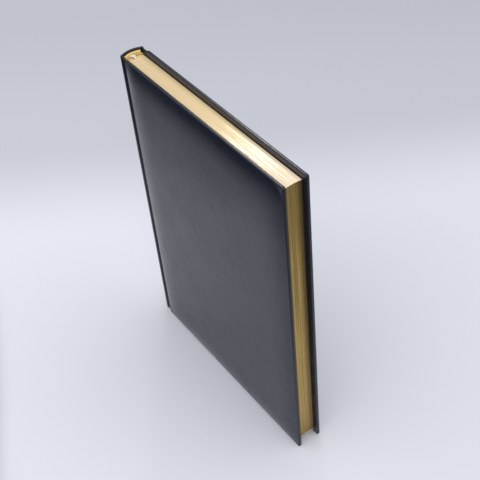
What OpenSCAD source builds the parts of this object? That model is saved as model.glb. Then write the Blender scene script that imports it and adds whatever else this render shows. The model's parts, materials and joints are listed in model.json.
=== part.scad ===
// Undated planner: a hardcover book with padded leather-look covers, gilt page edges,
// a rounded spine with headbands and a ribbon marker.
// It stands on its tail: +X runs from the spine to the fore-edge, the front cover faces -Y, +Z is up.
// The origin is at the middle of the footprint, on the surface that the planner stands on.

/* [Pages] */
// Height of the pages from tail to head
page_h = 204.6; // [170:0.2:240]
// Width of the pages from the back of the block to the fore-edge
page_w = 147.7; // [110:0.1:180]
// Thickness of the glued block of pages, without its flyleaves
block_t = 11.6; // [8:0.2:24]
// How far the back of the block bulges towards the spine
back_round = 2; // [1:0.1:2.6]
// How far the fore-edge of the block is hollowed
fore_hollow = 0.4; // [0.2:0.1:1.2]
// Thickness of the endpapers
paper_t = 0.2; // [0.15:0.05:0.4]

/* [Covers] */
// How far the covers stand past the pages at the head and the tail
square_h = 3.7; // [2:0.1:6]
// How far the covers stand past the pages at the fore-edge
square_f = 3.2; // [2:0.1:6]
// Thickness of the cover boards
board_t = 1.1; // [1:0.1:3]
// Thickness of the leather-look skin
skin_t = 0.35; // [0.25:0.05:0.8]
// Radius of the fore corners of the covers
corner_r = 2.4; // [1.5:0.1:6]
// Radius along the outer rim of the covers
rim_r = 0.7; // [0.5:0.05:1]
// How far the skin is turned in over the inside of the boards
turnin_w = 15; // [8:0.5:20]
// Width of the open mitre where two turn-ins meet
mitre_w = 0.3; // [0.2:0.05:0.8]

/* [Padding] */
// Thickness of the padding at the edges of the boards, where the skin presses it flat
pad_edge_t = 0.25; // [0.2:0.05:0.6]
// How much higher the padding stands in the middle than at the edges
pad_rise = 1.7; // [0.8:0.1:3]
// Width of the slope from the edge of the padding to its flat middle
pad_slope_w = 21; // [12:1:40]

/* [Spine] */
// Width of the groove between the spine and the boards
groove_w = 4.4; // [3.6:0.1:8]
// Width of the flat side of the spine next to the groove
spine_side = 1.5; // [1:0.1:2]
// How far the side of the spine lies below the outer rim of the covers
spine_drop = 0.7; // [0.4:0.1:1.2]
// Thickness of the card inside the spine
inlay_t = 0.6; // [0.4:0.1:1.2]
// How far the skin is turned in at the head and tail of the spine
spine_turnin = 12; // [8:1:20]
// How far the shoulder of the block lies behind the hinge line
shoulder_set = 0.6; // [0.3:0.1:1.2]

/* [Headbands and ribbon] */
// Diameter of the cord in the headbands
band_d = 1.8; // [1.2:0.1:2.4]
// How far the headbands stand past the edges of the pages
band_proud = 2.6; // [1.6:0.1:3.4]
// Depth of the cloth that glues a headband to the back of the block
band_cloth_h = 9; // [6:0.5:14]
// Thickness of the cloth and of the lining on the back of the block
lining_t = 0.3; // [0.2:0.05:0.5]
// Width of the ribbon marker
ribbon_w = 6; // [4:0.5:8]
// Thickness of the ribbon marker
ribbon_t = 0.3; // [0.2:0.05:0.5]
// Height of the ribbon's end above the tail of the pages
ribbon_end_h = 14; // [8:1:40]

/* [Hidden] */
$fn = 96;

// Running gap between a pastedown and its flyleaf
leaf_gap = 0.05;
// Gap between the spine's turn-in and the headband's cord
band_gap = 0.17;
// Gap between the headband's cord and the back of the block
cord_gap = 0.03;
// How far the hinge line lies outside the rim of the covers
hinge_gap = 0.15;
// Gap between the two halves of the skin along the hinge line
hinge_split = 0.04;
// How far the skin in the grooves stays back from the heads and tails of the covers
groove_inset = 0.4;
// Radius of the inner rim of the covers
inner_rim_r = 0.15;
// Points on the slope of the padding, and on the round of a rim
slope_steps = 14;
rim_steps = 4;
// How fast the padding rises at its edge: 1 is a straight slope
slope_power = 3.2;
// Overlap that makes a cut go right through
cut = 1;

// Heights
cover_h = page_h + 2 * square_h;
page_z = square_h;

// Distances from the middle plane of the book, going outwards
leaf_in = block_t / 2;
leaf_out = leaf_in + paper_t;
paste_in = leaf_out + leaf_gap;
skin_in = paste_in + paper_t;
board_in = skin_in + skin_t;
board_out = board_in + board_t;
pad_out = board_out + pad_edge_t;
rim_out = pad_out + skin_t;
spine_half = rim_out - spine_drop;
hinge_out = rim_out + hinge_gap;

// Places along the width, counted from the hinge line
shoulder_dx = -shoulder_set;
fore_dx = shoulder_dx + page_w;
cover_dx = fore_dx + square_f;
board_dx = groove_w / 2;
corner_dx = -groove_w / 2 - spine_side;
spine_t = 2 * skin_t + inlay_t;
back_dx = shoulder_dx - back_round;
spine_dx = back_dx - cord_gap - band_d - band_gap - spine_t;

// The same places from the middle of the footprint
hinge_x = -(spine_dx + cover_dx) / 2;
shoulder_x = hinge_x + shoulder_dx;
fore_x = hinge_x + fore_dx;
cover_x = hinge_x + cover_dx;
board_x = hinge_x + board_dx;
corner_x = hinge_x + corner_dx;
back_x = hinge_x + back_dx;
spine_x = hinge_x + spine_dx;

// Radii of the arcs from their half chord and their rise
function arc_r(half, rise) = (half * half + rise * rise) / (2 * rise);
back_r = arc_r(leaf_in, back_round);
back_cx = back_x + back_r;
spine_r = arc_r(spine_half, corner_x - spine_x);
spine_cx = spine_x + spine_r;
hollow_r = arc_r(leaf_in, fore_hollow);

// Height of the padding's slope at a distance s from its edge
function slope_h(s) = pad_rise * (1 - pow(1 - min(s / pad_slope_w, 1), slope_power));

// Outline of a padded slab across its length: flat inside, a rounded rim and a crowned outside
function slab_points(length, low, high, edge_r, low_r) = concat(
    low_r == 0 ? [[0, low]] : [for (i = [0 : rim_steps]) [
        low_r * (1 - sin(90 * i / rim_steps)), low + low_r * (1 - cos(90 * i / rim_steps))]],
    [for (i = [0 : rim_steps]) [
        edge_r * (1 - cos(90 * i / rim_steps)), high - edge_r * (1 - sin(90 * i / rim_steps))]],
    [for (i = [1 : slope_steps]) [
        edge_r + pad_slope_w * i / slope_steps, high + slope_h(pad_slope_w * i / slope_steps)]],
    [for (i = [slope_steps : -1 : 1]) [
        length - edge_r - pad_slope_w * i / slope_steps, high + slope_h(pad_slope_w * i / slope_steps)]],
    [for (i = [rim_steps : -1 : 0]) [
        length - edge_r * (1 - cos(90 * i / rim_steps)), high - edge_r * (1 - sin(90 * i / rim_steps))]],
    low_r == 0 ? [[length, low]] : [for (i = [rim_steps : -1 : 0]) [
        length - low_r * (1 - sin(90 * i / rim_steps)), low + low_r * (1 - cos(90 * i / rim_steps))]]
);

// A slab between two distances from the middle plane, with round fore corners
module flat_slab(x0, x1, z0, z1, low, high, r) {
    translate([0, -low, 0])
        rotate([90, 0, 0])
            linear_extrude(high - low)
                difference() {
                    translate([x0, z0]) square([x1 - x0, z1 - z0]);
                    if (r > 0) {
                        for (side = [0, 1])
                            translate([x1 - r, side == 0 ? z0 + r : z1 - r])
                                mirror([0, side == 0 ? 1 : 0])
                                    difference() {
                                        square(r + cut);
                                        circle(r);
                                    }
                    }
                }
}

// A padded slab: its two crowned outlines meet, and round corners cut them
module padded_slab(x0, x1, z0, z1, low, high, r, edge_r, low_r) {
    intersection() {
        translate([x0, 0, z0 - cut])
            linear_extrude(z1 - z0 + 2 * cut)
                mirror([0, 1])
                    polygon(slab_points(x1 - x0, low, high, edge_r, low_r));
        translate([x0 - cut, 0, z0])
            rotate(a = 180, v = [1, 0, 1])
                linear_extrude(x1 - x0 + 2 * cut)
                    polygon(slab_points(z1 - z0, low, high, edge_r, low_r));
        flat_slab(x0, x1, z0, z1, low - cut, high + pad_rise + cut, r);
    }
}

// The pages, glued at the rounded back and hollowed at the fore-edge
module page_outline() {
    difference() {
        union() {
            translate([shoulder_x, -leaf_in]) square([page_w, block_t]);
            intersection() {
                translate([back_cx, 0]) circle(back_r);
                translate([back_x - cut, -leaf_in]) square([back_round + 2 * cut, block_t]);
            }
        }
        translate([fore_x - fore_hollow + hollow_r, 0]) circle(hollow_r, $fn = 360);
    }
}

// A strip that follows the back of the block, between two distances from it
module back_strip(from, to, half) {
    intersection() {
        difference() {
            translate([back_cx, 0]) circle(back_r + to);
            translate([back_cx, 0]) circle(back_r + from);
        }
        translate([back_x - to - cut, -half]) square([back_round + to + cut, 2 * half]);
    }
}

// The ribbon seen from the front: it leaves the headband, runs a little way along the head, where it is
// folded, and hangs between the pages
ribbon_x = back_x + 0.8;
ribbon_lean = 9;
ribbon_fold = 17;
ribbon_top_z = page_z + page_h;
ribbon_end_z = page_z + ribbon_end_h;
module ribbon_plate(t) {
    translate([0, t / 2, 0])
        rotate([90, 0, 0])
            linear_extrude(t)
                polygon([
                    [ribbon_x, ribbon_top_z + band_proud * 0.6],
                    [ribbon_x + ribbon_w * 0.15, ribbon_top_z + band_proud * 0.35],
                    [ribbon_x + ribbon_w * 0.4, ribbon_top_z],
                    [ribbon_x + ribbon_fold, ribbon_top_z],
                    [ribbon_x + ribbon_w * 1.15, ribbon_top_z - ribbon_fold],
                    [ribbon_x + ribbon_w + ribbon_lean, ribbon_end_z],
                    [ribbon_x + ribbon_w / 2 + ribbon_lean, ribbon_end_z + ribbon_w / 3],
                    [ribbon_x + ribbon_lean, ribbon_end_z],
                    [ribbon_x, ribbon_top_z - ribbon_w]
                ]);
}

module page_block() {
    color("goldenrod")
        difference() {
            translate([0, 0, page_z]) linear_extrude(page_h) page_outline();
            ribbon_plate(ribbon_t);
        }
}

module ribbon_marker() {
    color("ivory") ribbon_plate(ribbon_t);
}

// One loose leaf of the endpapers, on the front of the block
module flyleaf() {
    translate([shoulder_x, -leaf_out, page_z]) cube([page_w, paper_t, page_h]);
}

module front_flyleaf() {
    color([0.20, 0.17, 0.15]) flyleaf();
}

module back_flyleaf() {
    color([0.20, 0.17, 0.15]) mirror([0, 1, 0]) flyleaf();
}

module spine_lining() {
    color("tan")
        translate([0, 0, page_z + band_cloth_h])
            linear_extrude(page_h - 2 * band_cloth_h)
                back_strip(0, lining_t, leaf_in);
}

// A headband: a cord that follows the back of the block, the wound core under it and the cloth that holds them
module headband() {
    cord_r = band_d / 2;
    run_r = back_r + cord_r + cord_gap;
    sweep = asin(leaf_in / (run_r + cord_r));
    core_sweep = sweep * 0.8;
    cord_z = band_proud - cord_r;
    translate([0, 0, -band_cloth_h])
        linear_extrude(band_cloth_h + cord_z - cord_r / 2)
            back_strip(0, lining_t, leaf_in);
    translate([back_cx, 0, -cord_r / 2])
        rotate([0, 0, 180 - core_sweep])
            rotate_extrude(angle = 2 * core_sweep)
                translate([back_r + lining_t * 0.8, 0])
                    square([cord_r * 1.4 - lining_t * 0.8, cord_z + cord_r / 4]);
    translate([back_cx, 0, cord_z])
        rotate([0, 0, 180 - sweep])
            rotate_extrude(angle = 2 * sweep)
                translate([run_r, 0])
                    circle(cord_r, $fn = 32);
}

module head_band() {
    color("gold") translate([0, 0, page_z + page_h]) headband();
}

module tail_band() {
    color("gold") translate([0, 0, page_z]) mirror([0, 0, 1]) headband();
}

// A curved strip of the spine between two depths under its outer face
module spine_strip(from, to, half) {
    intersection() {
        difference() {
            translate([spine_cx, 0]) circle(spine_r - from, $fn = 180);
            translate([spine_cx, 0]) circle(spine_r - to, $fn = 180);
        }
        translate([spine_x - cut, -half]) square([spine_r, 2 * half]);
    }
}

// The skin from the side of the spine down into the groove and up to the hinge line
module spine_shoulder() {
    side_x = corner_x + spine_side;
    floor_x = side_x + skin_t;
    polygon([
        [corner_x + skin_t / 2, -spine_half],
        [side_x, -spine_half],
        [floor_x + skin_t, -board_in],
        [hinge_x - hinge_split / 2, -board_in],
        [hinge_x - hinge_split / 2, -skin_in],
        [floor_x, -skin_in],
        [side_x - skin_t / 2, -spine_half + skin_t],
        [corner_x + skin_t / 2, -spine_half + skin_t]
    ]);
}

module spine_inlay() {
    color("burlywood")
        translate([0, 0, skin_t])
            linear_extrude(cover_h - 2 * skin_t)
                spine_strip(skin_t, skin_t + inlay_t, spine_half - skin_t);
}

// The skin of the spine, turned in over the card at the head and the tail
module spine_skin() {
    color([0.10, 0.10, 0.14])
        union() {
            difference() {
                linear_extrude(cover_h) spine_strip(0, spine_t, spine_half);
                translate([0, 0, skin_t])
                    linear_extrude(cover_h - 2 * skin_t)
                        spine_strip(skin_t, skin_t + inlay_t, spine_half - skin_t);
                translate([0, 0, spine_turnin])
                    linear_extrude(cover_h - 2 * spine_turnin)
                        spine_strip(skin_t + inlay_t, spine_t + cut / 2, spine_half - skin_t);
            }
            for (side = [0, 1])
                mirror([0, side, 0])
                    translate([0, 0, groove_inset])
                        linear_extrude(cover_h - 2 * groove_inset) spine_shoulder();
        }
}

// The four pieces of the front cover, which the back cover mirrors
module board() {
    flat_slab(board_x + skin_t, cover_x - skin_t, skin_t, cover_h - skin_t,
        board_in, board_out, corner_r - skin_t);
}

module padding() {
    padded_slab(board_x + skin_t, cover_x - skin_t, skin_t, cover_h - skin_t,
        board_out, pad_out, corner_r - skin_t, min(rim_r - skin_t, pad_edge_t), 0);
}

// The skin: the padded outside less what it wraps, with turn-ins on three sides and mitred corners
module skin() {
    difference() {
        union() {
            padded_slab(board_x, cover_x, 0, cover_h, skin_in, rim_out, corner_r, rim_r, inner_rim_r);
            translate([hinge_x + hinge_split / 2, -board_in, groove_inset])
                cube([board_dx + skin_t, skin_t, cover_h - 2 * groove_inset]);
        }
        board();
        padding();
        flat_slab(board_x + skin_t, cover_x - turnin_w, turnin_w, cover_h - turnin_w,
            skin_in - cut, board_in + cut / 10, 0);
        for (side = [0, 1])
            translate([cover_x - turnin_w, 0, side == 0 ? turnin_w : cover_h - turnin_w])
                rotate([0, side == 0 ? 45 : -45, 0])
                    translate([-corner_r, -board_in, -mitre_w / 2])
                        cube([turnin_w * sqrt(2) - corner_r, skin_t + cut / 4, mitre_w]);
    }
}

// The endpaper on the board: it lies over the turn-ins and sinks onto the board between them
module pastedown() {
    difference() {
        union() {
            translate([hinge_x + hinge_split, -skin_in, page_z])
                cube([fore_x - hinge_x - hinge_split, paper_t, page_h]);
            flat_slab(board_x + skin_t, cover_x - turnin_w, turnin_w, cover_h - turnin_w,
                paste_in, board_in, 0);
        }
        flat_slab(board_x + skin_t + paper_t, cover_x - turnin_w - paper_t,
            turnin_w + paper_t, cover_h - turnin_w - paper_t, paste_in - cut, board_in - paper_t, 0);
    }
}

module front_board() {
    color("tan") board();
}

module front_padding() {
    color("whitesmoke") padding();
}

module front_skin() {
    color([0.10, 0.10, 0.14]) skin();
}

module front_pastedown() {
    color([0.20, 0.17, 0.15]) pastedown();
}

module back_board() {
    color("tan") mirror([0, 1, 0]) board();
}

module back_padding() {
    color("whitesmoke") mirror([0, 1, 0]) padding();
}

module back_skin() {
    color([0.10, 0.10, 0.14]) mirror([0, 1, 0]) skin();
}

module back_pastedown() {
    color([0.20, 0.17, 0.15]) mirror([0, 1, 0]) pastedown();
}

page_block();
front_flyleaf();
back_flyleaf();
spine_lining();
head_band();
tail_band();
ribbon_marker();
spine_inlay();
spine_skin();
front_board();
front_padding();
front_skin();
front_pastedown();
back_board();
back_padding();
back_skin();
back_pastedown();
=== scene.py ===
"""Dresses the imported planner: padded skins, endpapers, gilt pages, headbands, a ribbon and a stage."""

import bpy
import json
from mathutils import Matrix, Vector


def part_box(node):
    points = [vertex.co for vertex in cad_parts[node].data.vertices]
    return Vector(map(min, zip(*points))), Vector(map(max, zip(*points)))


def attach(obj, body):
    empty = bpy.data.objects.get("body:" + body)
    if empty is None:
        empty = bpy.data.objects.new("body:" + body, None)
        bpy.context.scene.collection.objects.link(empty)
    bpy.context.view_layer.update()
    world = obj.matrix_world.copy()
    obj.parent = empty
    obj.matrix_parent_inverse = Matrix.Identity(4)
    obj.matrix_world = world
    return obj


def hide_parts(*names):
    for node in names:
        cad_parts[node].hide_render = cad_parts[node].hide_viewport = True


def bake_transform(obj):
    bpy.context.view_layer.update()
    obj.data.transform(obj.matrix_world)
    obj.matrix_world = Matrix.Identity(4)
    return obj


bl_info = {
    "name": "Undated planner",
    "version": (1, 0, 0),
    "blender": (4, 5, 0),
    "location": "3D View > Sidebar > Planner",
    "description": "Builds the soft and detailed pieces of a padded hardcover planner around its solid frame",
    "category": "Add Mesh",
}

import json
import math

import bpy
import numpy as np
from bpy.props import FloatProperty, FloatVectorProperty, IntProperty, PointerProperty
from bpy.types import Operator, Panel, PropertyGroup
from mathutils import Matrix, Vector

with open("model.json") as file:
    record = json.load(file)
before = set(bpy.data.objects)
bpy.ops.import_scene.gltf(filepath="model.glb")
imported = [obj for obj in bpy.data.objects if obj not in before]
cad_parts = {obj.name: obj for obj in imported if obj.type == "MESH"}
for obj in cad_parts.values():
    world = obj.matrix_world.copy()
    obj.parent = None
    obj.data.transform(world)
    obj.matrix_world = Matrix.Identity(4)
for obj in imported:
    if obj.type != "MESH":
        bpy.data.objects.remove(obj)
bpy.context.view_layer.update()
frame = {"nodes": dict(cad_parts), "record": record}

MM = 0.001

# The solids that the soft pieces are fitted to
SKIN_LOW, SKIN_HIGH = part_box("front_skin")
BOARD_LOW, BOARD_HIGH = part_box("front_board")
PASTE_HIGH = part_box("front_pastedown")[1]
LEAF_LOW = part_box("front_flyleaf")[0]
BLOCK_LOW, BLOCK_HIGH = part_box("page_block")
SPINE_LOW, SPINE_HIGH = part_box("spine_skin")
BAND_LOW, BAND_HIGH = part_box("head_band")
RIBBON_LOW, RIBBON_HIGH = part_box("ribbon_marker")

# Thickness of the skin, and places along the width
SKIN = BOARD_LOW.z
BOARD_X = BOARD_LOW.x - SKIN
COVER_X = SKIN_HIGH.x
COVER_H = SKIN_HIGH.z
HINGE = next(joint for joint in frame["record"]["behaviour"]["joints"] if joint["name"] == "front_hinge")
HINGE_X = HINGE["pos_m"][0]
SPINE_SIDE_X = HINGE_X - (BOARD_X - HINGE_X)
BACK_X = BLOCK_LOW.x
FORE_X = BLOCK_HIGH.x
SHOULDER_X = LEAF_LOW.x
SPINE_X = SPINE_LOW.x

# Distances from the middle plane of the book
LEAF_IN = BLOCK_HIGH.y
PASTE_IN = -PASTE_HIGH.y
SKIN_IN = -SKIN_HIGH.y
BOARD_IN = -BOARD_HIGH.y
BOARD_OUT = -BOARD_LOW.y
CROWN_OUT = -SKIN_LOW.y
SPINE_HALF = SPINE_HIGH.y

# Thickness of the foam at the rim, and how far its flat middle rises above the rim
PAD_EDGE = 0.25 * MM
PAD_RISE = CROWN_OUT - (BOARD_OUT + PAD_EDGE + SKIN)

# Heights of the pages, and the head's distance from half the height of the covers in millimetres
TAIL_Z = BLOCK_LOW.z
HEAD_Z = BLOCK_HIGH.z
HEAD_REACH = (HEAD_Z - COVER_H / 2) / MM

# The rounded back of the pages
BULGE = SHOULDER_X - BACK_X
BACK_RADIUS = (LEAF_IN ** 2 + BULGE ** 2) / (2 * BULGE)

# Width of the skin that is turned in along the spine side of a cover, and thickness of the endpapers
SPINE_TURNIN = 2.4 * MM
PAPER = 0.18 * MM

# Steps of the covers' meshes near their edges and in their middle
FINE_STEP, COARSE_STEP = 1.1 * MM, 3.6 * MM
CORNER_STEPS = 5

# Sockets of a Mix node: its two numbers, its two colours and its mixed colour
NUMBER_A, NUMBER_B = 2, 3
COLOUR_A, COLOUR_B, COLOUR_OUT = 6, 7, 2

# The camera that fits the photograph: its place in millimetres, where it looks and its focal length in pixels
CAMERA_PLACE = (375.44, -217.52, 525.04)
CAMERA_VIEW = (-0.61932, 0.37995, -0.68708)
CAMERA_DOWN = (0.52614, -0.44871, -0.72238)
FOCAL_LENGTH = 1003.12
PICTURE_WIDTH = 480
SENSOR_WIDTH = 36

# The softbox, and the room's light from its dim side to its bright one
SOFTBOX_PLACE = (-0.862, 0.602, 1.085)
SOFTBOX_AIM = (0.047, 0, 0.208)
SOFTBOX_SIZE = 0.12
SOFTBOX_COLOUR = (1, 0.985, 0.96)
ROOM_DIM = (0.30, 0.31, 0.34, 1)
ROOM_BRIGHT = (1.50, 1.51, 1.56, 1)
ROOM_BRIGHT_SIDE = (0.3, -0.25, 0.92)

REST = "rest_place"


def colour_prop(name, thing, default):
    """A colour, with the thing that it is the colour of."""
    return FloatVectorProperty(
        name=name,
        description=f"Colour of the {thing}",
        default=default,
        size=3,
        min=0,
        max=1,
        subtype="COLOR",
    )


def length_prop(name, description, default, low, high):
    """A length, with its default and its limits in millimetres."""
    return FloatProperty(
        name=name,
        description=description,
        default=default * MM,
        min=low * MM,
        max=high * MM,
        subtype="DISTANCE",
        unit="LENGTH",
    )


class PlannerCovers(PropertyGroup):
    leather: colour_prop("Leather", "skin on the covers and the spine", (0.0100, 0.0120, 0.0235))
    foam: colour_prop("Foam", "foam under the skin", (0.78, 0.76, 0.70))
    greyboard: colour_prop("Greyboard", "cover boards and the card in the spine", (0.30, 0.27, 0.23))
    rim: length_prop("Rim", "Radius of the outer rim of the covers", 0.7, 0.4, 1)
    inner_rim: length_prop("Inner rim", "Radius of the inner rim of the covers", 0.42, 0.38, 0.8)
    fore_corner: length_prop("Fore corner", "Radius of the fore corners", 1.3, 1, 6)
    spine_corner: length_prop("Spine corner", "Radius of the corners next to the spine", 1.2, 1, 3)
    slope_width: length_prop("Slope", "Width of the slope from the rim to the flat middle", 21, 10, 40)
    slope_power: FloatProperty(
        name="Fullness", description="How fast the padding rises at its edge", default=3.2, min=1, max=4
    )
    turnin: length_prop("Turn-in", "Width of the skin glued inside the boards", 15, 8, 20)


class PlannerSpine(PropertyGroup):
    side: length_prop("Side", "Width of the flat side of the spine", 1.5, 1, 2)
    edge_round: length_prop("Edge", "Radius between the rounded spine and its sides", 0.8, 0.3, 1)
    turnin: length_prop("Turn-in", "Depth of the skin turned in at head and tail", 12, 6, 20)
    groove_rise: length_prop("Groove rise", "How much shallower the grooves get at head and tail", 0.8, 0, 1)
    groove_end: length_prop("Groove end", "Length over which the grooves get shallower", 5, 1, 20)
    lining: colour_prop("Lining", "cloth on the back of the pages", (0.62, 0.55, 0.42))


class PlannerPages(PropertyGroup):
    gilt: colour_prop("Gilt", "gold on the page edges", (0.50, 0.347, 0.097))
    # Gold where the gilt is thin, also used as painted shade on the fore-edge towards head, tail and back
    # cover
    thin_and_shaded_gilt: colour_prop("Worn gilt", "gold where it is thin", (0.22, 0.14, 0.04))
    # Gold of head and tail, painted paler than the fore-edge's gold as a painted reflection of the bright
    # room
    lit_head_gilt: colour_prop("Head", "gold on head and tail", (0.87, 0.665, 0.365))
    # Gold that the head turns to towards its fore corner
    pale_corner_gilt: colour_prop("Rubbed gilt", "gold that is rubbed at the corners", (0.90, 0.74, 0.50))
    endpaper: colour_prop("Endpapers", "endpapers", (0.022, 0.018, 0.015))
    sections: IntProperty(
        name="Sections", description="Number of folded sections in the block", default=12, min=4, max=30
    )
    uneven: length_prop("Unevenness", "How far single pages stand past each other", 0.03, 0, 0.2)


class PlannerBands(PropertyGroup):
    thread: colour_prop("Thread", "silk on the headbands", (0.78, 0.585, 0.18))
    # Colour of the core, painted darker as the shade under the cord
    core: colour_prop("Core", "silk round the core under the headbands", (0.62, 0.40, 0.10))
    ribbon: colour_prop("Ribbon", "ribbon marker", (0.82, 0.72, 0.52))
    pitch: length_prop("Pitch", "Distance between two turns of the silk", 0.46, 0.3, 1)
    ribbon_depth: length_prop("Ribbon thickness", "Thickness of the ribbon", 0.26, 0.1, 0.3)


class PlannerStage(PropertyGroup):
    floor: colour_prop("Floor", "floor under and behind the planner", (0.72, 0.73, 0.78))
    near_floor: colour_prop("Near floor", "floor nearest to the camera", (0.715, 0.72, 0.77))
    # Painted light: the floor before the front cover, brighter against the planner's shadow
    lit_front_floor: colour_prop("Front floor", "floor before the front cover", (0.735, 0.74, 0.79))
    # Painted shade: the floor far behind the planner, darker where less light reaches it
    shaded_far_floor: colour_prop("Backdrop", "floor far behind the planner", (0.46, 0.47, 0.51))
    shade: colour_prop("Shaded floor", "floor in front, out of view", (0.036, 0.037, 0.041))
    key: FloatProperty(
        name="Key light",
        description="Power of the softbox behind the planner",
        default=1.0,
        min=0,
        unit="POWER",
    )
    sky: FloatProperty(name="Room light", description="Strength of the room's light", default=1.0, min=0)


class Finish:
    """A material that is put together node by node."""

    def __init__(self, name):
        self.material = bpy.data.materials.new(name)
        self.material.use_nodes = True
        self.tree = self.material.node_tree
        self.shader = self.tree.nodes["Principled BSDF"]

    def feed(self, socket, value):
        if isinstance(value, bpy.types.NodeSocket):
            self.tree.links.new(value, socket)
        elif socket.type == "RGBA" and len(value) == 3:
            socket.default_value = (*value, 1)
        else:
            socket.default_value = value

    def add(self, kind, values, out=0, **settings):
        node = self.tree.nodes.new("ShaderNode" + kind)
        for name, value in settings.items():
            setattr(node, name, value)
        for name, value in values.items():
            self.feed(node.inputs[name], value)
        return node.outputs[out]

    def place(self, carried):
        """Position in millimetres: kept in the mesh of a built piece, or the solid's own."""
        if carried:
            spot = self.add("Attribute", {}, "Vector", attribute_name=REST)
        else:
            spot = self.add("TexCoord", {}, "Object")
        return self.add("VectorMath", {0: spot, "Scale": 1 / MM}, operation="SCALE")

    def axes(self, spot):
        """The parts of a place along X, Y and Z."""
        node = self.tree.nodes.new("ShaderNodeSeparateXYZ")
        self.feed(node.inputs[0], spot)
        return [node.outputs[letter] for letter in "XYZ"]

    def from_middle(self, height):
        """Distance in millimetres from half the height of the covers."""
        return self.add("Math", {0: self.less(height, COVER_H / 2 / MM)}, operation="ABSOLUTE")

    def along(self, spot, direction):
        """How far a place lies along a direction."""
        return self.add("VectorMath", {0: spot, 1: direction}, "Value", operation="DOT_PRODUCT")

    def stretched(self, spot, size, turn=(0, 0, 0)):
        """Coordinates whose unit is one pattern size along each turned axis."""
        return self.add("Mapping", {"Vector": spot, "Rotation": turn, "Scale": size}, vector_type="TEXTURE")

    def noise(self, spot, scale, detail=2.0, distortion=0.0, out="Fac"):
        return self.add(
            "TexNoise", {"Vector": spot, "Scale": scale, "Detail": detail, "Distortion": distortion}, out
        )

    def ribs(self, spot, scale, distortion, axis):
        """Waves that repeat along an axis."""
        waves = {"Vector": spot, "Scale": scale, "Distortion": distortion, "Detail": 1}
        return self.add("TexWave", waves, 1, bands_direction=axis)

    def sums(self, first, second):
        return self.add("Math", {0: first, 1: second}, operation="ADD")

    def less(self, first, second):
        return self.add("Math", {0: first, 1: second}, operation="SUBTRACT")

    def times(self, first, second):
        return self.add("Math", {0: first, 1: second}, operation="MULTIPLY")

    def most(self, first, second):
        return self.add("Math", {0: first, 1: second}, operation="MAXIMUM")

    def ranged(self, value, low, high, to_low, to_high, smooth=False):
        return self.add(
            "MapRange",
            {"Value": value, "From Min": low, "From Max": high, "To Min": to_low, "To Max": to_high},
            interpolation_type="SMOOTHSTEP" if smooth else "LINEAR",
        )

    def mixed(self, share, first, second):
        """A colour between two others."""
        colours = {0: share, COLOUR_A: first, COLOUR_B: second}
        return self.add("Mix", colours, COLOUR_OUT, data_type="RGBA")

    def done(self, tone, rough, height, depth, strength=1.0, **values):
        """Gives the shader its colour, its roughness, a relief of some depth, and single values by name."""
        relief = self.add("Bump", {"Height": height, "Distance": depth, "Strength": strength})
        values.update(Base_Color=tone, Roughness=rough, Normal=relief)
        for name, value in values.items():
            self.feed(self.shader.inputs[name.replace("_", " ")], value)
        return self.material


def shade_of(colour, factor):
    return tuple(min(1, channel * factor) for channel in colour)


def leather_finish():
    """Smooth calf-like grain with pores and faint slanting creases."""
    look = bpy.context.scene.planner_covers
    finish = Finish("navy_leather")
    spot = finish.place(True)
    wander = finish.noise(spot, 0.9, 2, out="Color")
    moved = finish.add("VectorMath", {0: spot, 1: wander}, operation="ADD")
    cells = {"Vector": moved, "Scale": 1.25, "Smoothness": 0.6}
    pebbles = finish.add("TexVoronoi", cells, feature="SMOOTH_F1")
    pores = finish.noise(spot, 5, 3)
    slant = finish.stretched(spot, (1.1, 1.1, 14), (0, math.radians(-24), 0))
    creases = finish.ranged(finish.noise(slant, 1, 3, 0.6), 0.52, 0.72, 0, 1, True)
    patches = finish.noise(spot, 0.045, 2)
    height = finish.sums(finish.times(pebbles, 0.55), finish.times(pores, 0.35))
    height = finish.less(height, finish.times(creases, 0.45))
    rough = finish.ranged(pores, 0.3, 0.7, 0.20, 0.26)
    rough = finish.sums(rough, finish.times(creases, 0.10))
    rough = finish.sums(rough, finish.ranged(patches, 0.3, 0.7, -0.03, 0.04))
    tone = finish.mixed(pebbles, shade_of(look.leather, 1.2), shade_of(look.leather, 0.7))
    tone = finish.mixed(finish.times(creases, 0.5), tone, shade_of(look.leather, 0.45))
    return finish.done(tone, rough, height, 0.035 * MM, 0.4, IOR=1.45)


def shared_leather():
    """The one finish of every skin, made when the first piece asks for it."""
    return bpy.data.materials.get("navy_leather") or leather_finish()


def foam_finish():
    """Open-celled foam."""
    look = bpy.context.scene.planner_covers
    finish = Finish("foam")
    spot = finish.place(True)
    cells = finish.add("TexVoronoi", {"Vector": spot, "Scale": 2.2}, feature="F1")
    tone = finish.mixed(cells, shade_of(look.foam, 0.7), look.foam)
    height = finish.sums(cells, finish.noise(spot, 6, 2))
    rough = finish.ranged(cells, 0, 1, 0.85, 1)
    return finish.done(tone, rough, height, 0.15 * MM)


def greyboard_finish():
    """Pressed board with flecks of fibre."""
    look = bpy.context.scene.planner_covers
    finish = Finish("greyboard")
    spot = finish.place(False)
    fibres = finish.noise(finish.stretched(spot, (0.25, 0.25, 1.6)), 1, 4)
    flecks = finish.ranged(finish.noise(spot, 1.7, 4), 0.62, 0.75, 0, 1)
    tone = finish.mixed(fibres, shade_of(look.greyboard, 0.8), shade_of(look.greyboard, 1.2))
    tone = finish.mixed(flecks, tone, shade_of(look.greyboard, 0.5))
    rough = finish.ranged(fibres, 0.3, 0.7, 0.8, 0.95)
    return finish.done(tone, rough, fibres, 0.05 * MM)


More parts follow.
